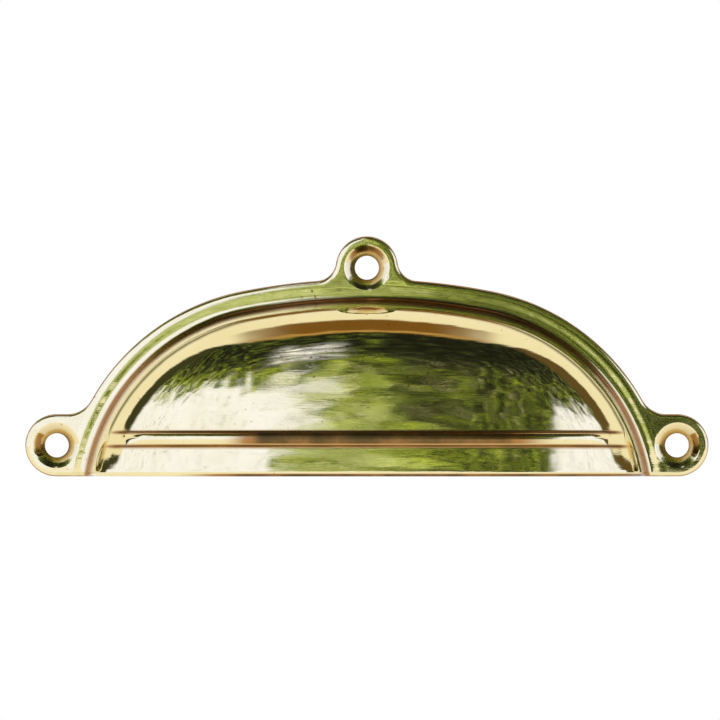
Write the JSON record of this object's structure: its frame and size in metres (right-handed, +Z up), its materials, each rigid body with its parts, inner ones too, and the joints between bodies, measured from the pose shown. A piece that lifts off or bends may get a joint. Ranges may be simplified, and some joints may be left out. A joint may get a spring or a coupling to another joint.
{
  "type": "cup drawer pull",
  "caption": "Cast brass cup pull: an arched hood open at the back and below for the fingers, with a bead across its front, on a flat flange with three countersunk screw ears.",
  "frame": {"origin": "midway between the two lower screw holes, on the flat back", "axes": "+X along the width, +Y out of the flat back into the drawer front, +Z up towards the top ear; the hood stands out towards -Y"},
  "size_m": [0.099, 0.0205, 0.0348],
  "materials": {
    "polished_brass": "cast and polished by hand, with fine rubbing marks and small casting pits"
  },
  "bodies": {
    "root": {"cup_pull": "polished_brass"}
  },
  "joints": []
}
